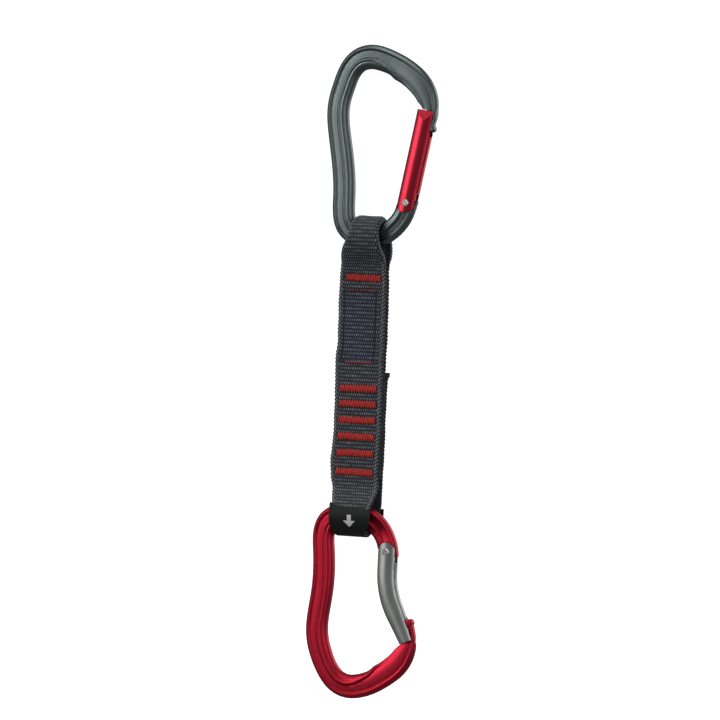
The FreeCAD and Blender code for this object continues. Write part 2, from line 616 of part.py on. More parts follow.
def build():
    nodes = {}
    top_nose_room = Part.makeCylinder(TOP_GATE_REACH + NOSE_GAP, 20, V(TOP_PIVOT[0], -10, TOP_PIVOT[1]), Y_AXIS)
    top_nose_room = top_nose_room.common(Part.makeBox(30, 20, 22, V(22, -10, -36)))
    bottom_nose_room = wall([(24.0, -292.7 - NOSE_GAP), (42.0, -285.3 - NOSE_GAP), (42.0, -270), (24.0, -270)],
                            -10, 10)
    nodes["top_carabiner_frame"] = carabiner_frame(
        TOP_FRAME_LINE, 1, (0.02, 0.165), TOP_PIVOT, TOP_GATE_TILT, top_nose(), top_nose_room)
    nodes["bottom_carabiner_frame"] = carabiner_frame(
        BOTTOM_FRAME_LINE, -1, (0.02, 0.15), BOTTOM_PIVOT, 0, bottom_nose(), bottom_nose_room)
    nodes["top_gate"] = top_gate()
    nodes["bottom_gate"] = bottom_gate()
    for end, pivot, tilt in (("top", TOP_PIVOT, TOP_GATE_TILT), ("bottom", BOTTOM_PIVOT, 0)):
        nodes[end + "_gate_rivet"] = place(rivet(), pivot, tilt, end == "top")
        nodes[end + "_gate_plunger"] = place(plunger(), pivot, tilt, end == "top")
        nodes[end + "_gate_spring"] = place(spring(), pivot, tilt, end == "top")
    nodes["bar_tack_top"] = bar_tack(TOP_TACK_Z, TOP_TACK_SPAN, MIDDLE_Y + WEB_THICK / 2)
    for number, z in enumerate(LOWER_TACK_Z, 1):
        nodes["bar_tack_%d" % number] = bar_tack(z, LOWER_TACK_SPAN, BACK_Y + WEB_THICK / 2)
    for name, z in STITCH_ROW_Z.items():
        nodes[name] = stitch_row(z)
    stitching = [shape for name, shape in nodes.items() if name.startswith(("bar_tack", "stitch_row"))]
    nodes["sling_webbing"] = sling_webbing(stitching)
    nodes["rubber_keeper"] = rubber_keeper()
    nodes["keeper_mark"] = keeper_mark()
    return nodes


def main():
    os.makedirs("parts", exist_ok=True)
    for name, shape in build().items():
        shape.exportStep("parts/%s.step" % name)
        box = shape.BoundBox
        print("%-24s solids %d valid %s volume %.1f box %.1f..%.1f %.1f..%.1f %.1f..%.1f" % (
            name, len(shape.Solids), shape.isValid(), shape.Volume, box.XMin, box.XMax, box.YMin, box.YMax,
            box.ZMin, box.ZMax))


main()
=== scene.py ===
import json
import math
import random

import bpy
import numpy as np
from mathutils import Matrix, Vector


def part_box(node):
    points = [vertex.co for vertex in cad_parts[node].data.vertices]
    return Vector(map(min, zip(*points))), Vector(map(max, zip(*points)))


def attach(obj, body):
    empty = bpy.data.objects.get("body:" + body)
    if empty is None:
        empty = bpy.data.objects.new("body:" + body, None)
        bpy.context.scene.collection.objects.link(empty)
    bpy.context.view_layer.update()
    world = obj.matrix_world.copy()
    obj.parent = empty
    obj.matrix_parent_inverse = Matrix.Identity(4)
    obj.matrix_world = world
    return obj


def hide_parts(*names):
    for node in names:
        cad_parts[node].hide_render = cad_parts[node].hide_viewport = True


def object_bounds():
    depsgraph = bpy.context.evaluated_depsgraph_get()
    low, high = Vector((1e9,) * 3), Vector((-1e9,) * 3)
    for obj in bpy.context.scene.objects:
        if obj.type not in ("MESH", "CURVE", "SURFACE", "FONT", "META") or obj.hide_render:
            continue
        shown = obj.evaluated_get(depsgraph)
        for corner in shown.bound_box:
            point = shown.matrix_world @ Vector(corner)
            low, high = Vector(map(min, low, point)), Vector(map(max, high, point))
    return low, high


# A climbing quickdraw: two forged carabiners joined by a sewn webbing sling with a
# rubber keeper. Lengths here are millimetres; MM turns them into Blender's metres.
# X runs across the carabiners towards their gates, -Y is the front, Z is up.

MM = 0.001
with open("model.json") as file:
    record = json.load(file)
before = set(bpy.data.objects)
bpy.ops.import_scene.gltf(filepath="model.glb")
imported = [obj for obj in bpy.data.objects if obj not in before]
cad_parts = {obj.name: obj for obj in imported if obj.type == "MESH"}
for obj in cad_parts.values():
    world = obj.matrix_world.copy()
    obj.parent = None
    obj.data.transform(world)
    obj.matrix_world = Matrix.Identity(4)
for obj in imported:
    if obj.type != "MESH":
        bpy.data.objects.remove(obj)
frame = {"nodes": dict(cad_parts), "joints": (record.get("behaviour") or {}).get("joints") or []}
cad_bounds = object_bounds()

NODES = frame["nodes"]
JOINTS = {joint["name"]: joint for joint in frame["joints"]}


def joint_point(name):
    return [value / MM for value in JOINTS[name]["pos_m"]]


def box_mm(node):
    low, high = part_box(node)
    return [value / MM for value in low], [value / MM for value in high]


# ---- small numeric helpers ----

def smooth(value, low, high):
    """Zero below low, one above high, with an even rise between them."""
    t = np.clip((np.asarray(value, float) - low) / (high - low), 0.0, 1.0)
    return t * t * (3 - 2 * t)


def window(value, low, high, soft):
    """One between low and high, falling to zero within soft of them."""
    return smooth(value, low - soft, low + soft) * (1 - smooth(value, high - soft, high + soft))


# ---- building materials ----

class Graph:
    """A node material whose Principled shader holds every value that is uniform."""

    def __init__(self, name, **uniform):
        self.material = bpy.data.materials.new(name)
        self.material.use_nodes = True
        self.nodes = self.material.node_tree.nodes
        self.links = self.material.node_tree.links
        self.shader = self.nodes["Principled BSDF"]
        for socket, value in uniform.items():
            self.shader.inputs[socket.replace("_", " ")].default_value = value

    def node(self, kind, settings=None, **inputs):
        """Adds a node. Inputs are named with _ for a space, or i and a number for their place."""
        made = self.nodes.new(kind)
        for key, value in (settings or {}).items():
            setattr(made, key, value)
        for name, value in inputs.items():
            numbered = name[0] == "i" and name[1:].isdigit()
            self.feed(made.inputs[int(name[1:]) if numbered else name.replace("_", " ")], value)
        return made

    def feed(self, socket, value):
        """Links a socket to another one, or sets it to a plain value."""
        if isinstance(value, bpy.types.NodeSocket):
            self.links.new(value, socket)
        else:
            socket.default_value = value

    def maths(self, operation, first, second=0.0):
        return self.node("ShaderNodeMath", {"operation": operation}, i0=first, i1=second).outputs[0]

    def mix(self, factor, first, second, blend="MIX"):
        """Mixes two colours. The node has sockets of every type under the same names."""
        made = self.node("ShaderNodeMix", {"data_type": "RGBA", "blend_type": blend})
        self.feed(made.inputs["Factor"], factor)
        for name, value in (("A", first), ("B", second)):
            self.feed(next(s for s in made.inputs if s.name == name and s.type == "RGBA"), value)
        return next(s for s in made.outputs if s.type == "RGBA")

    def ramp(self, factor, stops):
        """A colour ramp through (position, colour or grey level) stops."""
        made = self.node("ShaderNodeValToRGB", i0=factor)
        elements = made.color_ramp.elements
        while len(elements) < len(stops):
            elements.new(0.5)
        for element, (position, colour) in zip(elements, stops):
            element.position = position
            element.color = colour if isinstance(colour, tuple) else (colour, colour, colour, 1)
        return made.outputs["Color"]

    def scale(self, value, low, high):
        """Carries a value that runs from 0 to 1 to the span from low to high."""
        made = self.node("ShaderNodeMapRange", i0=value)
        made.inputs["To Min"].default_value = low
        made.inputs["To Max"].default_value = high
        return made.outputs["Result"]

    def place(self, stretch=(1, 1, 1), turn=(0, 0, 0)):
        """Positions in the part's own frame, in millimetres, stretched along each axis."""
        coords = self.node("ShaderNodeTexCoord").outputs["Object"]
        made = self.node("ShaderNodeMapping", Vector=coords)
        made.inputs["Rotation"].default_value = turn
        made.inputs["Scale"].default_value = [s / MM for s in stretch]
        return made.outputs["Vector"]

    def attribute(self, title):
        """A number stored at each of the mesh's points."""
        return self.node("ShaderNodeAttribute", {"attribute_name": title}).outputs["Fac"]

    def noise(self, vector, scale, detail=3.0, rough=0.5):
        made = self.node("ShaderNodeTexNoise", Vector=vector, Scale=scale, Detail=detail, Roughness=rough)
        return made.outputs["Fac"]

    def bump(self, height, depth):
        """A bump of that depth in millimetres."""
        return self.node("ShaderNodeBump", Height=height, Distance=depth * MM).outputs["Normal"]

    def finish(self, colour=None, roughness=None, normal=None):
        for name, value in (("Base Color", colour), ("Roughness", roughness), ("Normal", normal)):
            if value is not None:
                self.feed(self.shader.inputs[name], value)
        return self.material


def rgba(red, green, blue):
    return (red, green, blue, 1.0)


def shade(colour, factor):
    """A colour made darker or lighter, with its alpha kept."""
    return tuple(factor * c for c in colour[:3]) + (1,)


def anodised(name, base, roughness):
    """Blasted and anodised aluminium: a fine satin grain, faint cloudiness and light handling scuffs."""
    g = Graph(name, Metallic=1.0)
    place = g.place()
    cloud = g.noise(place, 0.09, 4.0, 0.55)
    grain = g.noise(place, 4.5, 2.0, 0.6)
    scuff = g.noise(g.place((0.5, 0.5, 0.12), (0, math.radians(24), 0)), 1.4, 3.0, 0.6)
    tint = g.mix(cloud, shade(base, 0.84), shade(base, 1.14))
    rough = g.maths("ADD", g.scale(scuff, roughness - 0.05, roughness + 0.06), g.scale(grain, -0.03, 0.03))
    return g.finish(tint, rough, g.bump(grain, 0.016))


def bright_steel(name):
    """Turned and peened rivets, pins and spring wire."""
    g = Graph(name, Metallic=1.0)
    place = g.place()
    cloud = g.noise(place, 0.8, 3.0)
    lines = g.noise(g.place((1, 1, 8)), 1.4, 2.0)
    colour = g.mix(cloud, rgba(0.55, 0.55, 0.54), rgba(0.78, 0.78, 0.76))
    return g.finish(colour, g.scale(lines, 0.2, 0.36), g.bump(lines, 0.01))


FRAME_GREY = anodised("anodised_grey_frame", rgba(0.14, 0.17, 0.162), 0.42)
FRAME_RED = anodised("anodised_red_frame", rgba(0.53, 0.022, 0.045), 0.46)
GATE_RED = anodised("anodised_red_gate", rgba(0.53, 0.03, 0.055), 0.4)
GATE_GREY = anodised("anodised_grey_gate", rgba(0.42, 0.445, 0.42), 0.4)
STEEL = bright_steel("bright_steel")


def paint(node, material):
    """Gives a carried-over CAD node its material."""
    for place in NODES[node].material_slots:
        place.material = material
    if not NODES[node].material_slots:
        NODES[node].data.materials.append(material)


for node, material in {
    "top_carabiner_frame": FRAME_GREY,
    "bottom_carabiner_frame": FRAME_RED,
    "top_gate": GATE_RED,
    "bottom_gate": GATE_GREY,
    "top_gate_rivet": STEEL,
    "bottom_gate_rivet": STEEL,
    "top_gate_plunger": STEEL,
    "bottom_gate_plunger": STEEL,
    "top_gate_spring": STEEL,
    "bottom_gate_spring": STEEL,
}.items():
    paint(node, material)


# ---- the sling: one strip of webbing, folded into an eye at each end ----

WEB_WIDTH = 25.8                # of the flat strip
WEB_THICK = 2.0
TOP_BAR = joint_point("sling_swing")[2]
BOTTOM_BAR = joint_point("bottom_carabiner_swing")[2]
FRONT_Y, MIDDLE_Y, BACK_Y = -1.05, 1.05, 3.15       # middles of the three plies
TOP_EYE = 10.4                  # radius of the upper eye, to the middle of the webbing
BOTTOM_EYE = 9.15               # the same for the lower eye
THROAT_BEND = 10.0              # radius of the bends that close each eye
TOP_SLOPE = math.radians(42.0)  # how steeply the plies run together under the upper eye
BOTTOM_SLOPE = math.radians(38.0)    # the same above the lower eye
OUTER_END = -153.5              # heat-cut end on the back
INNER_END = -208.5              # the other end, hidden between the plies
WEBBING_EDGES = [               # height, left edge and right edge seen from the front
    (-240.0, -7.3, 7.4), (-232.0, -7.3, 7.4), (-228.0, -7.8, 9.6), (-224.0, -8.8, 11.3),
    (-220.0, -9.5, 12.3), (-217.0, -10.6, 12.8), (-213.0, -11.7, 13.1), (-209.0, -12.9, 12.9),
    (-205.0, -13.0, 12.7), (-202.0, -13.4, 12.7), (-198.0, -13.7, 12.8), (-194.0, -13.1, 12.8),
    (-190.0, -12.9, 12.8), (-160.0, -12.9, 12.7), (-155.0, -13.4, 12.5), (-145.0, -13.6, 12.4),
    (-138.0, -12.9, 12.5), (-126.0, -13.0, 12.5), (-116.0, -13.3, 12.4), (-112.0, -13.5, 12.2),
    (-103.0, -13.2, 11.6), (-98.0, -12.4, 11.2), (-95.0, -11.4, 10.9), (-88.0, -8.1, 9.5),
    (-82.0, -6.35, 8.4), (-72.0, -6.3, 8.2),
]
PLY_SHIFT = {"front": 0.0, "middle": 0.75, "back": 1.0}     # how far each ply lies to the right
RIB = 1.9                       # pitch of the woven ribs along the strip
ROWS_PER_RIB = 6                # mesh rows along each rib
CROWNS = 22                     # warp crowns across the strip
COLUMNS_PER_CROWN = 4           # mesh columns across each crown
COARSE = 6                      # the hidden face has one row for this many
CROWN_HEIGHT = 0.5
WEAVE_BASE = 0.3                # the weave starts this far below the nominal face
SELVEDGE = 2.3                  # width of the tubular band along each edge
SELVEDGE_PITCH = 1.15           # pitch of its knobs across the strip
EDGE_ROUND = 0.95               # width over which each face rounds off to the edge
SCALLOP = 0.28                  # how far each rib sets the edge in and out
SCALLOP_REACH = 1.2             # width of the band along the edge that follows it
ROLL_RADIUS = 1.15              # the narrowed webbing rolls its edges in round this
ROLL_DEPTH = 1.9                # how far the edges roll back at the upper eye
ROLL_SPAN = (17.0, 10.5)        # below the upper bar, where the roll starts and is full
ROLL_SHARE = 0.45               # share of that depth by which the flat part narrows
PANEL = (-9.4, 7.8)             # creases either side of the middle panel
CREASE_DEPTH, CREASE_WIDTH = 0.4, 0.4
TACK_PRESS, TACK_SPREAD = 0.3, 1.9      # how deep and how widely a bar tack presses the cloth in
ROW_SHARE, ROW_SPREAD = 0.6, 0.8        # share of that depth, and the spread, for a row of stitches
SEWN_EDGE = (9.3, 11.0)         # distances from the middle between which the pressing dies out
INNER_RIM = (0.12, 0.45, 1.0, 2.0)      # insets of the hidden face's outer columns from the edge
INNER_HALF, INNER_COLUMNS = 9.6, 17     # half width and number of its plain middle columns
INNER_CLEAR = 0.03              # the hidden face keeps this far inside the nominal one
INNER_PAINTED_SHADE = 0.3              # its even painted shade


class Route:
    """The middle line of a strip in the YZ plane, walked in straight runs and bends."""

    def __init__(self, y, z, heading):
        self.legs = []          # (distance where it begins, length, turn, start) of each leg
        self.length = 0.0
        self.end = (y, z, math.radians(heading))

    def go(self, length, turn=0.0):
        self.legs.append((self.length, length, turn, self.end))
        self.end = tuple(float(value) for value in self.follow(self.end, length, turn, length))
        self.length += length

    def bend(self, radius, turn):
        self.go(radius * abs(turn), turn)

    @staticmethod
    def follow(start, length, turn, distance):
        """Y, Z and heading at distances along one leg."""
        y, z, heading = start
        if turn == 0.0:
            return y + distance * math.cos(heading), z + distance * math.sin(heading), heading + 0 * distance
        rate = turn / length
        ahead = heading + rate * distance
        return (y + (np.sin(ahead) - math.sin(heading)) / rate,
                z - (np.cos(ahead) - math.cos(heading)) / rate, ahead)

    def at(self, distance):
        """Y, Z and heading at distances along the route."""
        distance = np.asarray(distance, float)
        found = np.zeros((3,) + distance.shape)
        for begin, length, turn, start in self.legs:
            inside = (distance >= begin - 1e-9) & (distance <= begin + length + 1e-9)
            y, z, heading = self.follow(start, length, turn, distance[inside] - begin)
            found[0][inside], found[1][inside], found[2][inside] = y, z, heading
        return found


def throat(radius, slope, offset):
    """Length of the straight flank of an eye, and the height of the whole throat under the bar."""
    run = (radius * math.cos(slope) - offset - THROAT_BEND * (1 - math.cos(slope))) / math.sin(slope)
    height = radius * math.sin(slope) + run * math.cos(slope) + THROAT_BEND * math.sin(slope)
    return run, height


def sling_route():
    """Down the back, round the lower bar, up the front, round the upper bar and down the middle."""
    back_run, back_height = throat(BOTTOM_EYE, BOTTOM_SLOPE, BACK_Y)
    front_run, front_height = throat(BOTTOM_EYE, BOTTOM_SLOPE, -FRONT_Y)
    top_run, top_height = throat(TOP_EYE, TOP_SLOPE, MIDDLE_Y)
    route = Route(BACK_Y, OUTER_END, -90)
    route.go(OUTER_END - BOTTOM_BAR - back_height)
    route.bend(THROAT_BEND, BOTTOM_SLOPE)
    route.go(back_run)
    route.bend(BOTTOM_EYE, -math.pi - 2 * BOTTOM_SLOPE)
    route.go(front_run)
    route.bend(THROAT_BEND, BOTTOM_SLOPE)
    route.go(TOP_BAR - top_height - BOTTOM_BAR - front_height)
    route.bend(THROAT_BEND, TOP_SLOPE)
    route.go(top_run)
    route.bend(TOP_EYE, -math.pi - 2 * TOP_SLOPE)
    route.go(top_run)
    route.bend(THROAT_BEND, TOP_SLOPE)
    route.go(TOP_BAR - top_height - INNER_END)
    return route


SLING = sling_route()
BACK_TO = SLING.legs[3][0]      # distances along the route at which the plies begin and end
FRONT_FROM = SLING.legs[5][0]
FRONT_TO = SLING.legs[8][0]
MIDDLE_FROM = SLING.legs[10][0]
SPLIT = BACK_TO + SLING.legs[3][1] / 2      # halfway round the lower eye, under the keeper
TACKS = ["bar_tack_top"] + [f"bar_tack_{i}" for i in range(1, 7)]
TACK_HEIGHTS = {name: sum(corner[2] for corner in box_mm(name)) / 2 for name in TACKS}
STITCH_ROWS = {name: sum(corner[2] for corner in box_mm(name)) / 2
               for name in ("stitch_row_upper", "stitch_row_lower")}


def web_edges(s, z):
    """Left and right edge of the webbing at each place along the route, never quite straight."""
    heights = [row[0] for row in WEBBING_EDGES]
    left = np.interp(z, heights, [row[1] for row in WEBBING_EDGES])
    right = np.interp(z, heights, [row[2] for row in WEBBING_EDGES])
    sway = 0.13 * np.sin(s / 5.9 + 1.0) + 0.1 * np.sin(s / 2.3)
    corner = np.interp(s, [0.0, 0.8, 3.0, 3.6, 5.0], [0.9, 1.5, 0.5, 0.05, 0.0])
    shift = np.interp(s, [BACK_TO - 14, BACK_TO + 4, FRONT_TO, MIDDLE_FROM + 6],
                      [PLY_SHIFT["back"], PLY_SHIFT["front"], PLY_SHIFT["front"], PLY_SHIFT["middle"]])
    return left + sway + shift, right + 0.8 * sway + shift + corner


TURNS = np.linspace(0.0, 2.6, 200)      # angles of roll, to find one from the width that it takes up
LEAST_ROLL = 0.01


def web_points(s, a, n):
    """Points of the strip: s along it, a across it as woven, n out from its middle surface."""
    y, z, heading = SLING.at(s)
    left, right = web_edges(s, z)
    roll = ROLL_DEPTH * smooth(z, TOP_BAR - ROLL_SPAN[0], TOP_BAR - ROLL_SPAN[1])
    half = (right - left) / 2 - ROLL_SHARE * roll
    most = np.arccos(1 - roll / ROLL_RADIUS)
    unrolled = np.minimum(WEB_WIDTH / 2, half + ROLL_RADIUS * (most - np.sin(most)))
    turn = np.interp((unrolled - half) / ROLL_RADIUS, TURNS - np.sin(TURNS), TURNS)
    turn = np.where(roll < LEAST_ROLL, 0.0, turn)
    unrolled = np.where(roll < LEAST_ROLL, half, unrolled)
    across = np.abs(a) * unrolled / (WEB_WIDTH / 2)
    side = np.sign(a)
    flat = unrolled - ROLL_RADIUS * turn
    angle = np.maximum(0.0, across - flat) / ROLL_RADIUS
    x = (left + right) / 2 + side * (np.minimum(across, flat) + (ROLL_RADIUS + n) * np.sin(angle))
    out = n * np.cos(angle) - ROLL_RADIUS * (1 - np.cos(angle))
    return np.stack([x, y - np.sin(heading) * out, z + np.cos(heading) * out], axis=-1)


def weave(s, a):
    """Relief of the woven face: crowns of warp in half-offset courses, 0 in a gap and 1 on top."""
    course = np.floor(s / RIB + 1e-6)
    along = s / RIB - course - 0.5
    width = WEB_WIDTH / CROWNS
    across = (a / width + 0.5 * (course % 2)) % 1.0 - 0.5
    lift = 0.86 + 0.14 * np.sin(12.9898 * np.floor(a / width + 0.5 * (course % 2)) + 78.233 * course)
    top = (1 - np.abs(2 * along) ** 2.2) * (0.54 + 0.46 * np.cos(2 * math.pi * across)) * lift
    band = smooth(np.abs(a), WEB_WIDTH / 2 - SELVEDGE - 0.25, WEB_WIDTH / 2 - SELVEDGE + 0.25)
    slant = s / RIB + (WEB_WIDTH / 2 - np.abs(a)) / SELVEDGE
    edge = 1 - np.abs(2 * (slant - np.floor(slant) - 0.5)) ** 2.0
    edge *= 0.7 + 0.3 * np.cos(2 * math.pi * a / SELVEDGE_PITCH)
    return top * (1 - band) + edge * band, band


def face_height(s, a, z):
    """How far the outer face stands out from the strip's middle, and its relief for the colour, darkened by
    painted shade in the creases, where the sewing presses in and where the face rounds off to the edge.
    """
    relief_and_shade, band = weave(s, a)
    front = window(s, FRONT_FROM, FRONT_TO, 2.0)
    sewn = np.zeros_like(s)
    for height in TACK_HEIGHTS.values():
        sewn += np.exp(-((z - height) / TACK_SPREAD) ** 2)
    for height in STITCH_ROWS.values():
        sewn += ROW_SHARE * np.exp(-((z - height) / ROW_SPREAD) ** 2)
    sewn *= 1 - smooth(np.abs(a), *SEWN_EDGE)
    crease = sum(np.exp(-((a - middle) / CREASE_WIDTH) ** 2) for middle in PANEL)
    crease *= window(z, STITCH_ROWS["stitch_row_lower"], STITCH_ROWS["stitch_row_upper"], 0.8) * front
    gap = np.exp(-((np.abs(a) - (WEB_WIDTH / 2 - SELVEDGE)) / 0.3) ** 2)
    puff = 0.1 * np.sin(a / 3.1 + 0.4) * np.sin(s / 4.3)
    base = WEB_THICK / 2 - WEAVE_BASE + CROWN_HEIGHT * relief_and_shade + puff
    base = base - TACK_PRESS * sewn - CREASE_DEPTH * crease - 0.12 * gap + 0.1 * band
    inside = np.clip((np.abs(a) - (WEB_WIDTH / 2 - EDGE_ROUND)) / EDGE_ROUND, 0, 1)
    fade = np.sqrt(1 - inside ** 2)
    # The second value sets the colour: painted shade darkens it in the creases, where the sewing presses the
    # cloth in, and towards the edges.
    return base * fade, relief_and_shade * (1 - 0.7 * crease) * (1 - 0.25 * sewn) * (0.2 + 0.8 * fade)


def quads(grid):
    """The four-sided faces between the neighbours of a grid of vertex numbers."""
    return np.stack([grid[:-1, :-1], grid[:-1, 1:], grid[1:, 1:], grid[1:, :-1]], -1).reshape(-1, 4)


def edge_fans(fine, coarse, flip):
    """Triangles that join a fine row of vertices to a coarse one along the strip's edge."""
    faces = []
    for j in range(len(coarse) - 1):
        fan = [(coarse[j], fine[COARSE * j + q], fine[COARSE * j + q + 1]) for q in range(COARSE)]
        fan.append((coarse[j], fine[COARSE * (j + 1)], coarse[j + 1]))
        faces += [[int(v) for v in (triangle[::-1] if flip else triangle)] for triangle in fan]
    return faces


def strip(name, begin, end):
    """One closed stretch of webbing: a finely woven outer face, and a plainer inner one."""
    courses = round((end - begin) / RIB)
    rows = courses * ROWS_PER_RIB
    rows -= rows % COARSE
    columns = CROWNS * COLUMNS_PER_CROWN
    along = np.linspace(begin, end, rows + 1)
    across = np.linspace(-WEB_WIDTH / 2, WEB_WIDTH / 2, columns + 1)
    s, a = np.meshgrid(along, across, indexing="ij")
    height, relief_and_shade = face_height(s, a, SLING.at(s)[1])
    scallop = SCALLOP * np.cos(2 * math.pi * s / RIB)
    scallop *= smooth(np.abs(a), WEB_WIDTH / 2 - SCALLOP_REACH, WEB_WIDTH / 2)
    outer = web_points(s, a + np.sign(a) * scallop, height)
    rim = [WEB_WIDTH / 2 - inset for inset in INNER_RIM]
    plain = list(np.linspace(-INNER_HALF, INNER_HALF, INNER_COLUMNS))
    inner_across = np.array([-place for place in rim] + plain + rim[::-1])
    s2, a2 = np.meshgrid(along[::COARSE], inner_across, indexing="ij")
    depth = np.clip((np.abs(a2) - (WEB_WIDTH / 2 - EDGE_ROUND)) / EDGE_ROUND, 0, 1)
    inner = web_points(s2, a2, -(WEB_THICK / 2 - INNER_CLEAR) * np.sqrt(1 - depth ** 2))
    index = np.arange(outer.shape[0] * outer.shape[1]).reshape(outer.shape[:2])
    index2 = index.size + np.arange(inner.shape[0] * inner.shape[1]).reshape(inner.shape[:2])
    faces = quads(index).tolist() + quads(index2)[:, ::-1].tolist()
    faces += edge_fans(index[:, 0], index2[:, 0], False) + edge_fans(index[:, -1], index2[:, -1], True)
    faces.append([int(v) for v in index[0][::-1]] + [int(v) for v in index2[0]])
    faces.append([int(v) for v in index[-1]] + [int(v) for v in index2[-1][::-1]])
    mesh = bpy.data.meshes.new(name)
    mesh.from_pydata((np.concatenate([outer.reshape(-1, 3), inner.reshape(-1, 3)]) * MM).tolist(), [], faces)
    mesh.shade_smooth()
    # The relief stored for the colour carries painted shade; the hidden face gets one even painted shade.
    stored = (("along", s, s2), ("across", a, a2), ("relief_and_shade", relief_and_shade, INNER_PAINTED_SHADE + 0 * s2))
    for title, first, second in stored:
        values = np.concatenate([first.ravel(), second.ravel()]).astype(np.float32)
        mesh.attributes.new(title, "FLOAT", "POINT").data.foreach_set("value", values)
    return mesh


def nylon_webbing():
    """Woven nylon with painted shade in the gaps of its weave and painted highlights on its crowns, with
    fine filaments and a bluer middle panel.
    """
    g = Graph("woven_nylon", Sheen_Weight=0.35, Sheen_Roughness=0.45, Specular_IOR_Level=0.3)
    along, across, relief_and_shade = [g.attribute(title) for title in ("along", "across", "relief_and_shade")]
    spread = g.node("ShaderNodeCombineXYZ",
                    X=g.maths("MULTIPLY", across, 7.0),
                    Y=g.maths("MULTIPLY", along, 0.9))
    filament = g.noise(spread.outputs[0], 1.0, 2.0, 0.6)
    cells = g.node("ShaderNodeCombineXYZ",
                   X=g.maths("FLOOR", g.maths("DIVIDE", across, WEB_WIDTH / CROWNS / 2)),
                   Y=g.maths("FLOOR", g.maths("DIVIDE", along, RIB)))
    patch = g.node("ShaderNodeTexWhiteNoise", Vector=cells.outputs[0]).outputs["Value"]
    wide = g.noise(g.place(), 0.12, 3.0)
    # Painted shade and highlight: near black for the shade in the weave's gaps, light grey for the lit tops
    # of its crowns.
    gap, crown_highlight = rgba(0.014, 0.0145, 0.016), rgba(0.3, 0.31, 0.315)
    colour = g.mix(g.ramp(relief_and_shade, [(0.12, 0.0), (0.5, 0.25), (0.9, 1.0)]), gap, crown_highlight)
    light = g.maths("ADD", g.scale(patch, 0.7, 1.25), g.scale(filament, -0.2, 0.2))
    light = g.maths("MULTIPLY", light, g.scale(wide, 0.85, 1.15))
    grey = g.node("ShaderNodeCombineColor", Red=light, Green=light, Blue=light)
    colour = g.mix(1.0, colour, grey.outputs[0], "MULTIPLY")
    inside = g.maths("MULTIPLY",
                     g.maths("GREATER_THAN", across, PANEL[0]),
                     g.maths("LESS_THAN", across, PANEL[1]))
    height = g.node("ShaderNodeSeparateXYZ", Vector=g.place()).outputs["Z"]
    for operation, row in (("GREATER_THAN", "stitch_row_lower"), ("LESS_THAN", "stitch_row_upper")):
        inside = g.maths("MULTIPLY", inside, g.maths(operation, height, STITCH_ROWS[row]))
    colour = g.mix(g.scale(inside, 0.25, 0.8), colour, rgba(0.74, 0.86, 1.3), "MULTIPLY")
    return g.finish(colour, g.scale(filament, 0.72, 0.9), g.bump(filament, 0.06))


def show(name, mesh, material, body, slot, *replaced):
    """Puts a mesh in the scene as a piece that rides on a body and stands for CAD nodes."""
    mesh.materials.append(material)
    piece = bpy.data.objects.new(name, mesh)
    bpy.context.scene.collection.objects.link(piece)
    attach(piece, body)
    if replaced:
        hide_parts(*replaced)
    return piece


WEBBING = nylon_webbing()
show("webbing_front_and_middle", strip("webbing_front_and_middle", SPLIT, SLING.length), WEBBING,
     "sling", "webbing", "sling_webbing")
show("webbing_back", strip("webbing_back", 0.0, SPLIT), WEBBING, "sling", "webbing")


# ---- sewing ----

THREAD = 0.275                  # radius of the sewing thread
THREAD_RISE = 0.75              # depth over which the sewing falls into shadow
TUBE_SIDES = 6
ZIGZAG_PITCH = 1.3              # from one stroke to the next but one
TACK_HEIGHT = 4.0               # a bar tack's height, without the strokes' uneven reach
TACK_DEPTH = 0.41               # middle of its threads under the CAD solid's faces
TACK_INSET = 0.3                # clear space at each end of the CAD solid
LAID_OFFSETS = (-1.15, -0.4, 0.4, 1.15)     # the long threads under the zigzag, from the tack's middle
LAID_SINK = 0.16                # how far they lie below the zigzag
JOINING_THREAD = 0.16           # radius of the thread left between the last two tacks
STITCH_PITCH = 1.46
STITCH_HALF = 0.3               # half the length of a running stitch
STITCH_THREAD = 0.4             # its radius
STITCH_DEPTH = 0.25


def tube(points, radius):
    """A closed round tube along a row of points, as vertices and faces."""
    sides = TUBE_SIDES
    points = np.asarray(points, float)
    ahead = np.gradient(points, axis=0)
    ahead /= np.linalg.norm(ahead, axis=1)[:, None]
    side = np.cross(ahead, np.array([0.0, 1.0, 0.0]))
    side /= np.linalg.norm(side, axis=1)[:, None]
    top = np.cross(side, ahead)
    count = len(points)
    angles = 2 * math.pi * np.arange(sides) / sides
    ring = points[:, None] + radius * (np.cos(angles)[None, :, None] * side[:, None]
                                       + np.sin(angles)[None, :, None] * top[:, None])
    faces = []
    for start in range(0, (count - 1) * sides, sides):
        for k in range(sides):
            after = (k + 1) % sides
            faces.append([start + k, start + after, start + sides + after, start + sides + k])
    faces.append(list(range(sides))[::-1])
    faces.append([(count - 1) * sides + k for k in range(sides)])
    return ring.reshape(-1, 3), faces


def gather(name, tubes):
    """One mesh from several tubes, with how far each point stands above the cloth, 0 to 1."""
    points, faces, base = [], [], 0
    for vertices, loops in tubes:
        points.append(vertices)
        faces += [[base + v for v in loop] for loop in loops]
        base += len(vertices)
    points = np.concatenate(points)
    mesh = bpy.data.meshes.new(name)
    mesh.from_pydata((points * MM).tolist(), [], faces)
    mesh.shade_smooth()
    middle = (points[:, 1].min() + points[:, 1].max()) / 2
    proud = np.abs(points[:, 1] - middle)
    height = ((proud - proud.max() + THREAD_RISE) / THREAD_RISE).astype(np.float32)
    mesh.attributes.new("height", "FLOAT", "POINT").data.foreach_set("value", height)
    return mesh


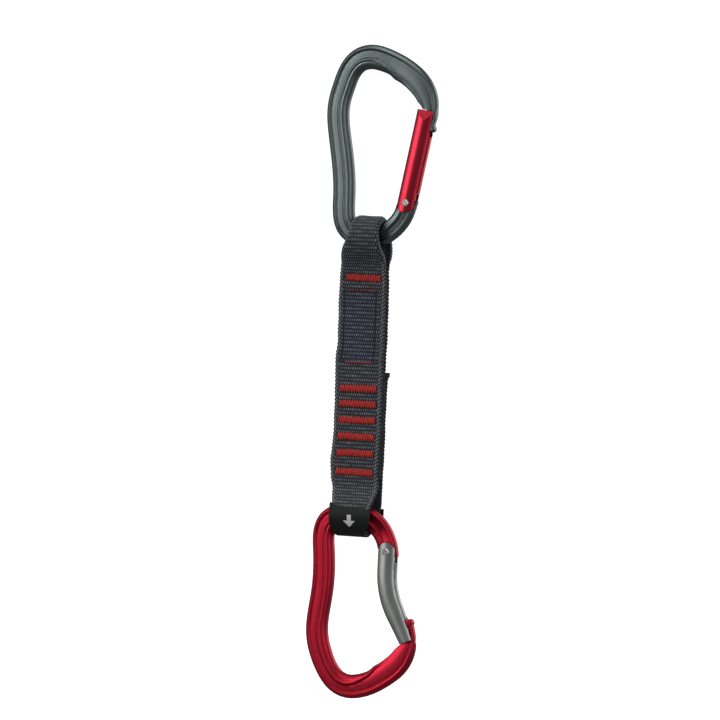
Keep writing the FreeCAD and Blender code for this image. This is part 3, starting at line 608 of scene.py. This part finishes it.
def bar_tack(node, chance):
    """Long threads along the tack, closely covered by zigzag stitches, on both faces of the sling."""
    low, high = box_mm(node)
    middle = (low[2] + high[2]) / 2
    tilt = chance.uniform(-0.012, 0.012)
    strokes = 2 * round((high[0] - low[0] - 0.4) / ZIGZAG_PITCH)
    left, right = low[0] + TACK_INSET, high[0] - TACK_INSET
    tubes = []
    for lift, out in ((low[1] + TACK_DEPTH, -1), (high[1] - TACK_DEPTH, 1)):
        for offset in LAID_OFFSETS:
            x = np.linspace(left, right, 14)
            z = middle + offset + tilt * x + 0.1 * np.sin(x * 1.3 + offset)
            tubes.append(tube(np.stack([x, lift - out * LAID_SINK + 0 * x, z], -1), THREAD))
        path = []
        for i in range(strokes + 1):
            x = left + (right - left) * i / strokes + chance.uniform(-0.06, 0.06)
            reach = (TACK_HEIGHT / 2 + chance.uniform(-0.3, 0.3)) * (1 if i % 2 else -1)
            path.append((x, middle + reach + tilt * x))
        for i, ((x0, z0), (x1, z1)) in enumerate(zip(path, path[1:])):
            t = np.linspace(0, 1, 7)
            arch = lift + out * (0.26 - 0.75 * np.abs(2 * t - 1) ** 5) + out * 0.05 * (i % 2)
            bow = chance.uniform(-0.05, 0.05) * np.sin(math.pi * t)
            tubes.append(tube(np.stack([x0 + (x1 - x0) * t + bow, arch, z0 + (z1 - z0) * t], -1), THREAD))
    return tubes


def stitch_row(node, chance):
    """A row of short straight stitches, sunk into the weave."""
    low, high = box_mm(node)
    middle = (low[2] + high[2]) / 2
    count = round((high[0] - low[0]) / STITCH_PITCH)
    pitch = (high[0] - low[0]) / count
    tubes = []
    for face, out in ((low[1] + STITCH_DEPTH, -1), (high[1] - STITCH_DEPTH, 1)):
        for i in range(count):
            x = low[0] + pitch * (i + 0.5) + chance.uniform(-0.06, 0.06)
            t = np.linspace(-1, 1, 7)
            arch = face + out * (0.3 - 0.5 * t ** 4)
            tubes.append(tube(np.stack([x + STITCH_HALF * t, arch, middle + 0.1 * t], -1), STITCH_THREAD))
    return tubes


def joining_thread():
    """The thread that runs on from the fifth lower tack to the sixth, near their left ends."""
    z = np.linspace(TACK_HEIGHTS["bar_tack_5"] - 1.5, TACK_HEIGHTS["bar_tack_6"] + 1.5, 12)
    x = box_mm("bar_tack_6")[0][0] + 0.5 + 0.25 * np.sin(z * 2)
    return tube(np.stack([x, -2.0 + 0 * z, z], -1), JOINING_THREAD)


def nylon_thread(name, deep, bright):
    """Shiny twisted thread between two reds, painted highlight and painted shade along its plies, and
    painted shade where it lies low in the cloth.
    """
    g = Graph(name, Sheen_Weight=0.2, Specular_IOR_Level=0.45)
    place = g.place()
    ply = g.noise(g.place((1, 1, 1), (0, math.radians(35), 0)), 3.2, 2.0)
    fine = g.noise(place, 9.0, 2.0)
    # Painted shade: the thread turns dark red where it lies low in the cloth.
    lit = g.ramp(g.attribute("height"), [(0.05, 0.0), (0.75, 1.0)])
    colour = g.mix(lit, rgba(0.11, 0.006, 0.006), g.mix(ply, deep, bright))
    return g.finish(colour, g.scale(fine, 0.45, 0.65), g.bump(ply, 0.08))


chance = random.Random(7)
THREAD_RED = nylon_thread("red_thread", rgba(0.45, 0.01, 0.008), rgba(0.86, 0.04, 0.022))
# Painted shade: a darker copy of the stitch thread, used for the upper stitch row.
THREAD_SHADED = nylon_thread("painted_shade_thread", rgba(0.2, 0.01, 0.016), rgba(0.42, 0.03, 0.04))
THREAD_PINK = nylon_thread("raised_thread", rgba(0.42, 0.015, 0.04), rgba(0.72, 0.06, 0.09))
for node in TACKS:
    tubes = bar_tack(node, chance)
    if node == "bar_tack_6":
        tubes.append(joining_thread())
    show("sewn_" + node, gather("sewn_" + node, tubes), THREAD_RED, "sling", "thread", node)
for node in STITCH_ROWS:
    # The upper row's thread carries painted shade.
    thread = THREAD_SHADED if node == "stitch_row_upper" else THREAD_PINK
    show("sewn_" + node, gather("sewn_" + node, stitch_row(node, chance)), thread, "sling", "thread", node)


# ---- rubber keeper ----

KEEPER_MIDDLE = 10.95           # radius of its middle surface about the lower bar
KEEPER_THICK = 1.3
KEEPER_FLAP = 7.5               # length of the straight flaps above the bar
KEEPER_LEAN = math.radians(7.0)     # how far they close in
KEEPER_RISE = KEEPER_FLAP * math.cos(KEEPER_LEAN)
# Outlines as seen from the front: (height, x) of the sides and (x, height) of the top edge.
KEEPER_LEFT = [(-240.0, -7.6), (-236.4, -8.1), (-233.2, -9.4), (-218.0, -9.4)]
KEEPER_RIGHT = [(-240.0, 7.7), (-235.6, 8.2), (-231.2, 12.2), (-223.3, 12.4), (-218.0, 12.4)]
KEEPER_TOP = [(-9.4, -220.6), (-7.7, -220.6), (-7.1, -221.9), (10.2, -223.2), (12.4, -223.3)]
# Shares of the band's width and length at which the cage has its loops, close together at the rims.
KEEPER_ACROSS = [0.0, 0.012, 0.05, 0.078, 0.105, 0.2, 0.35, 0.5, 0.65, 0.8, 0.92, 0.985, 1.0]
KEEPER_ALONG = [0.0, 0.008, 0.04] + [0.1 + 0.05 * i for i in range(17)] + [0.96, 0.992, 1.0]


def keeper_mesh():
    """A moulded band round the lower eye: a thick cage with close loops at its rims, for subdivision."""
    reach = KEEPER_MIDDLE - KEEPER_FLAP * math.sin(KEEPER_LEAN)
    band = Route(-reach, BOTTOM_BAR + KEEPER_RISE, -90 - math.degrees(KEEPER_LEAN))
    band.go(KEEPER_FLAP)
    band.end = (-KEEPER_MIDDLE, BOTTOM_BAR, -math.pi / 2)
    band.bend(KEEPER_MIDDLE, math.pi)
    band.end = (KEEPER_MIDDLE, BOTTOM_BAR, math.pi / 2 + KEEPER_LEAN)
    band.go(KEEPER_FLAP)
    top_x = [row[0] for row in KEEPER_TOP]
    top_z = [row[1] for row in KEEPER_TOP]
    points = []
    for a in KEEPER_ACROSS:
        x_top = KEEPER_TOP[0][0] + a * (KEEPER_TOP[-1][0] - KEEPER_TOP[0][0])
        cut = (BOTTOM_BAR + KEEPER_RISE - np.interp(x_top, top_x, top_z)) / math.cos(KEEPER_LEAN)
        s = np.array([cut + (band.length - 2 * cut) * b for b in KEEPER_ALONG])
        y, z, heading = band.at(s)
        left = np.interp(z, [row[0] for row in KEEPER_LEFT], [row[1] for row in KEEPER_LEFT])
        right = np.interp(z, [row[0] for row in KEEPER_RIGHT], [row[1] for row in KEEPER_RIGHT])
        for out in (KEEPER_THICK / 2, -KEEPER_THICK / 2):
            x = left + a * (right - left)
            points.append(np.stack([x, y + np.sin(heading) * out, z - np.cos(heading) * out], -1))
    grid = np.array(points).reshape(len(KEEPER_ACROSS), 2, len(KEEPER_ALONG), 3)
    index = np.arange(grid.size // 3).reshape(grid.shape[:3])
    faces = []
    for side, flip in ((0, 1), (1, -1)):
        sheet = index[:, side]
        for i in range(sheet.shape[0] - 1):
            for j in range(sheet.shape[1] - 1):
                faces.append([sheet[i, j], sheet[i + 1, j], sheet[i + 1, j + 1], sheet[i, j + 1]][::flip])
    for i in range(len(KEEPER_ACROSS) - 1):
        faces.append([index[i, 0, 0], index[i, 1, 0], index[i + 1, 1, 0], index[i + 1, 0, 0]])
        faces.append([index[i, 0, -1], index[i + 1, 0, -1], index[i + 1, 1, -1], index[i, 1, -1]])
    for j in range(len(KEEPER_ALONG) - 1):
        faces.append([index[0, 0, j], index[0, 0, j + 1], index[0, 1, j + 1], index[0, 1, j]])
        faces.append([index[-1, 0, j], index[-1, 1, j], index[-1, 1, j + 1], index[-1, 0, j + 1]])
    mesh = bpy.data.meshes.new("keeper_band")
    mesh.from_pydata((grid.reshape(-1, 3) * MM).tolist(), [], [[int(v) for v in face] for face in faces])
    mesh.shade_smooth()
    return mesh


def black_rubber():
    """Matt moulded rubber with a fine pebble and a little dust."""
    g = Graph("black_rubber", Specular_IOR_Level=0.3)
    place = g.place()
    pebble = g.noise(place, 3.5, 3.0, 0.6)
    dust = g.noise(place, 0.35, 4.0, 0.6)
    dusty = g.ramp(dust, [(0.45, 0.0), (0.75, 1.0)])
    colour = g.mix(dusty, rgba(0.007, 0.0075, 0.0075), rgba(0.018, 0.019, 0.018))
    return g.finish(colour, g.scale(dust, 0.5, 0.64), g.bump(pebble, 0.03))


def white_print():
    """The keeper's printed arrow, slightly worn."""
    g = Graph("pale_print")
    wear = g.noise(g.place(), 2.0, 4.0, 0.7)
    colour = g.mix(g.ramp(wear, [(0.3, 0.0), (0.5, 1.0)]), rgba(0.45, 0.45, 0.44), rgba(0.72, 0.72, 0.7))
    return g.finish(colour, g.scale(wear, 0.5, 0.7), g.bump(wear, 0.02))


keeper = show("keeper_band", keeper_mesh(), black_rubber(), "sling", "keeper_rubber", "rubber_keeper")
rounding = keeper.modifiers.new("rounding", "SUBSURF")
rounding.levels = rounding.render_levels = 2
paint("keeper_mark", white_print())


# ---- studio ----

FLOOR_DROP = 30.0               # clear air under the part, millimetres
STAGE_BACK = 5200.0             # far enough for a view from behind the part
STAGE_CURVE = 900.0
STAGE_HALF_WIDTH = 6000.0
STAGE_FRONT = -6000.0
STAGE_HEIGHT = 4000.0
STAGE_STEPS = 24                # faces round the curve
STAGE_GLOW = 1.0                # the paper glows, so that it reads as plain white


def build_stage(floor_z):
    """A pale floor that curves up into a pale wall behind the part, neither seen in reflections."""
    profile = [(STAGE_FRONT, floor_z), (STAGE_BACK - STAGE_CURVE, floor_z)]
    for i in range(1, STAGE_STEPS + 1):
        turn = math.pi / 2 * i / STAGE_STEPS
        profile.append((STAGE_BACK - STAGE_CURVE + STAGE_CURVE * math.sin(turn),
                        floor_z + STAGE_CURVE * (1 - math.cos(turn))))
    profile.append((STAGE_BACK, floor_z + STAGE_HEIGHT))
    points = [(x * MM, y * MM, z * MM) for y, z in profile for x in (-STAGE_HALF_WIDTH, STAGE_HALF_WIDTH)]
    faces = [(2 * i, 2 * i + 1, 2 * i + 3, 2 * i + 2) for i in range(len(profile) - 1)]
    mesh = bpy.data.meshes.new("studio_floor")
    mesh.from_pydata(points, [], faces)
    mesh.shade_smooth()
    g = Graph("pale_paper", Roughness=0.9, Emission_Color=rgba(1, 1, 1), Emission_Strength=STAGE_GLOW)
    fleck = g.noise(g.place(), 0.004, 2.0)
    mesh.materials.append(g.finish(g.mix(fleck, rgba(0.86, 0.86, 0.86), rgba(0.9, 0.9, 0.9))))
    floor = bpy.data.objects.new("studio_floor", mesh)
    bpy.context.scene.collection.objects.link(floor)
    floor.visible_glossy = False
    floor.visible_diffuse = False


def soft_box(name, at, aim, size, power):
    """A rectangular lamp at a point, turned to aim at another, in millimetres and watts."""
    lamp = bpy.data.lights.new(name, "AREA")
    lamp.shape = "RECTANGLE"
    lamp.size, lamp.size_y = size[0] * MM, size[1] * MM
    lamp.energy = power
    holder = bpy.data.objects.new(name, lamp)
    holder.location = Vector(at) * MM
    holder.rotation_euler = (Vector(aim) - Vector(at)).to_track_quat("-Z", "Y").to_euler()
    bpy.context.scene.collection.objects.link(holder)


LAMPS = {                           # place, width and height, watts
    "key": ((-1150, -1250, 500), (900, 1400), 17),
    "side": ((1500, -700, 150), (500, 1300), 5.5),
    "top": ((100, -300, 1500), (1200, 700), 8),
    "rear": ((700, 1500, 300), (1200, 1200), 7),
}
ROOM_LIGHT = 0.2                    # strength of the surroundings as light on the part
ROOM_SEEN = 1.3                     # and as the camera sees them past the paper's edges

VIEW_TURN = math.radians(20.0)      # the camera stands this far round towards the gates
VIEW_ROLL = math.radians(2.8)       # the quickdraw leans this much in the picture
VIEW_DISTANCE = 2000.0
VIEW_WIDTH = 367.2                  # millimetres across the picture at the part
VIEW_SHIFT = (-7.8, -147.5)         # picture centre from the hang point, right and up


def build_camera():
    """A long lens at the photograph's angle. Gives the point it looks at."""
    right = Vector((math.cos(VIEW_TURN), math.sin(VIEW_TURN), 0))
    up = Vector((0, 0, 1))
    toward = right.cross(up)
    image_right = math.cos(VIEW_ROLL) * right + math.sin(VIEW_ROLL) * up
    image_up = -math.sin(VIEW_ROLL) * right + math.cos(VIEW_ROLL) * up
    aim = image_right * VIEW_SHIFT[0] + image_up * VIEW_SHIFT[1]
    camera = bpy.data.cameras.new("camera")
    camera.sensor_width = 36.0
    camera.lens = camera.sensor_width * VIEW_DISTANCE / VIEW_WIDTH
    camera.clip_start, camera.clip_end = 0.1, 20.0
    holder = bpy.data.objects.new("camera", camera)
    turn = Matrix((image_right, image_up, toward)).transposed()
    holder.matrix_world = Matrix.Translation((aim + toward * VIEW_DISTANCE) * MM) @ turn.to_4x4()
    bpy.context.scene.collection.objects.link(holder)
    bpy.context.scene.camera = holder
    return aim


def build_world():
    """Dim even surroundings, bright only where the camera itself sees them."""
    world = bpy.data.worlds.new("studio_air")
    world.use_nodes = True
    tree = world.node_tree
    background = tree.nodes["Background"]
    background.inputs["Color"].default_value = rgba(0.8, 0.82, 0.85)
    seen = tree.nodes.new("ShaderNodeLightPath").outputs["Is Camera Ray"]
    strength = tree.nodes.new("ShaderNodeMapRange")
    strength.inputs["To Min"].default_value = ROOM_LIGHT
    strength.inputs["To Max"].default_value = ROOM_SEEN
    tree.links.new(seen, strength.inputs["Value"])
    tree.links.new(strength.outputs["Result"], background.inputs["Strength"])
    bpy.context.scene.world = world


aim = build_camera()
build_stage(cad_bounds[0][2] / MM - FLOOR_DROP)
for name, (at, size, power) in LAMPS.items():
    soft_box(name, at, aim, size, power)
build_world()
bpy.context.scene.view_settings.view_transform = "Standard"
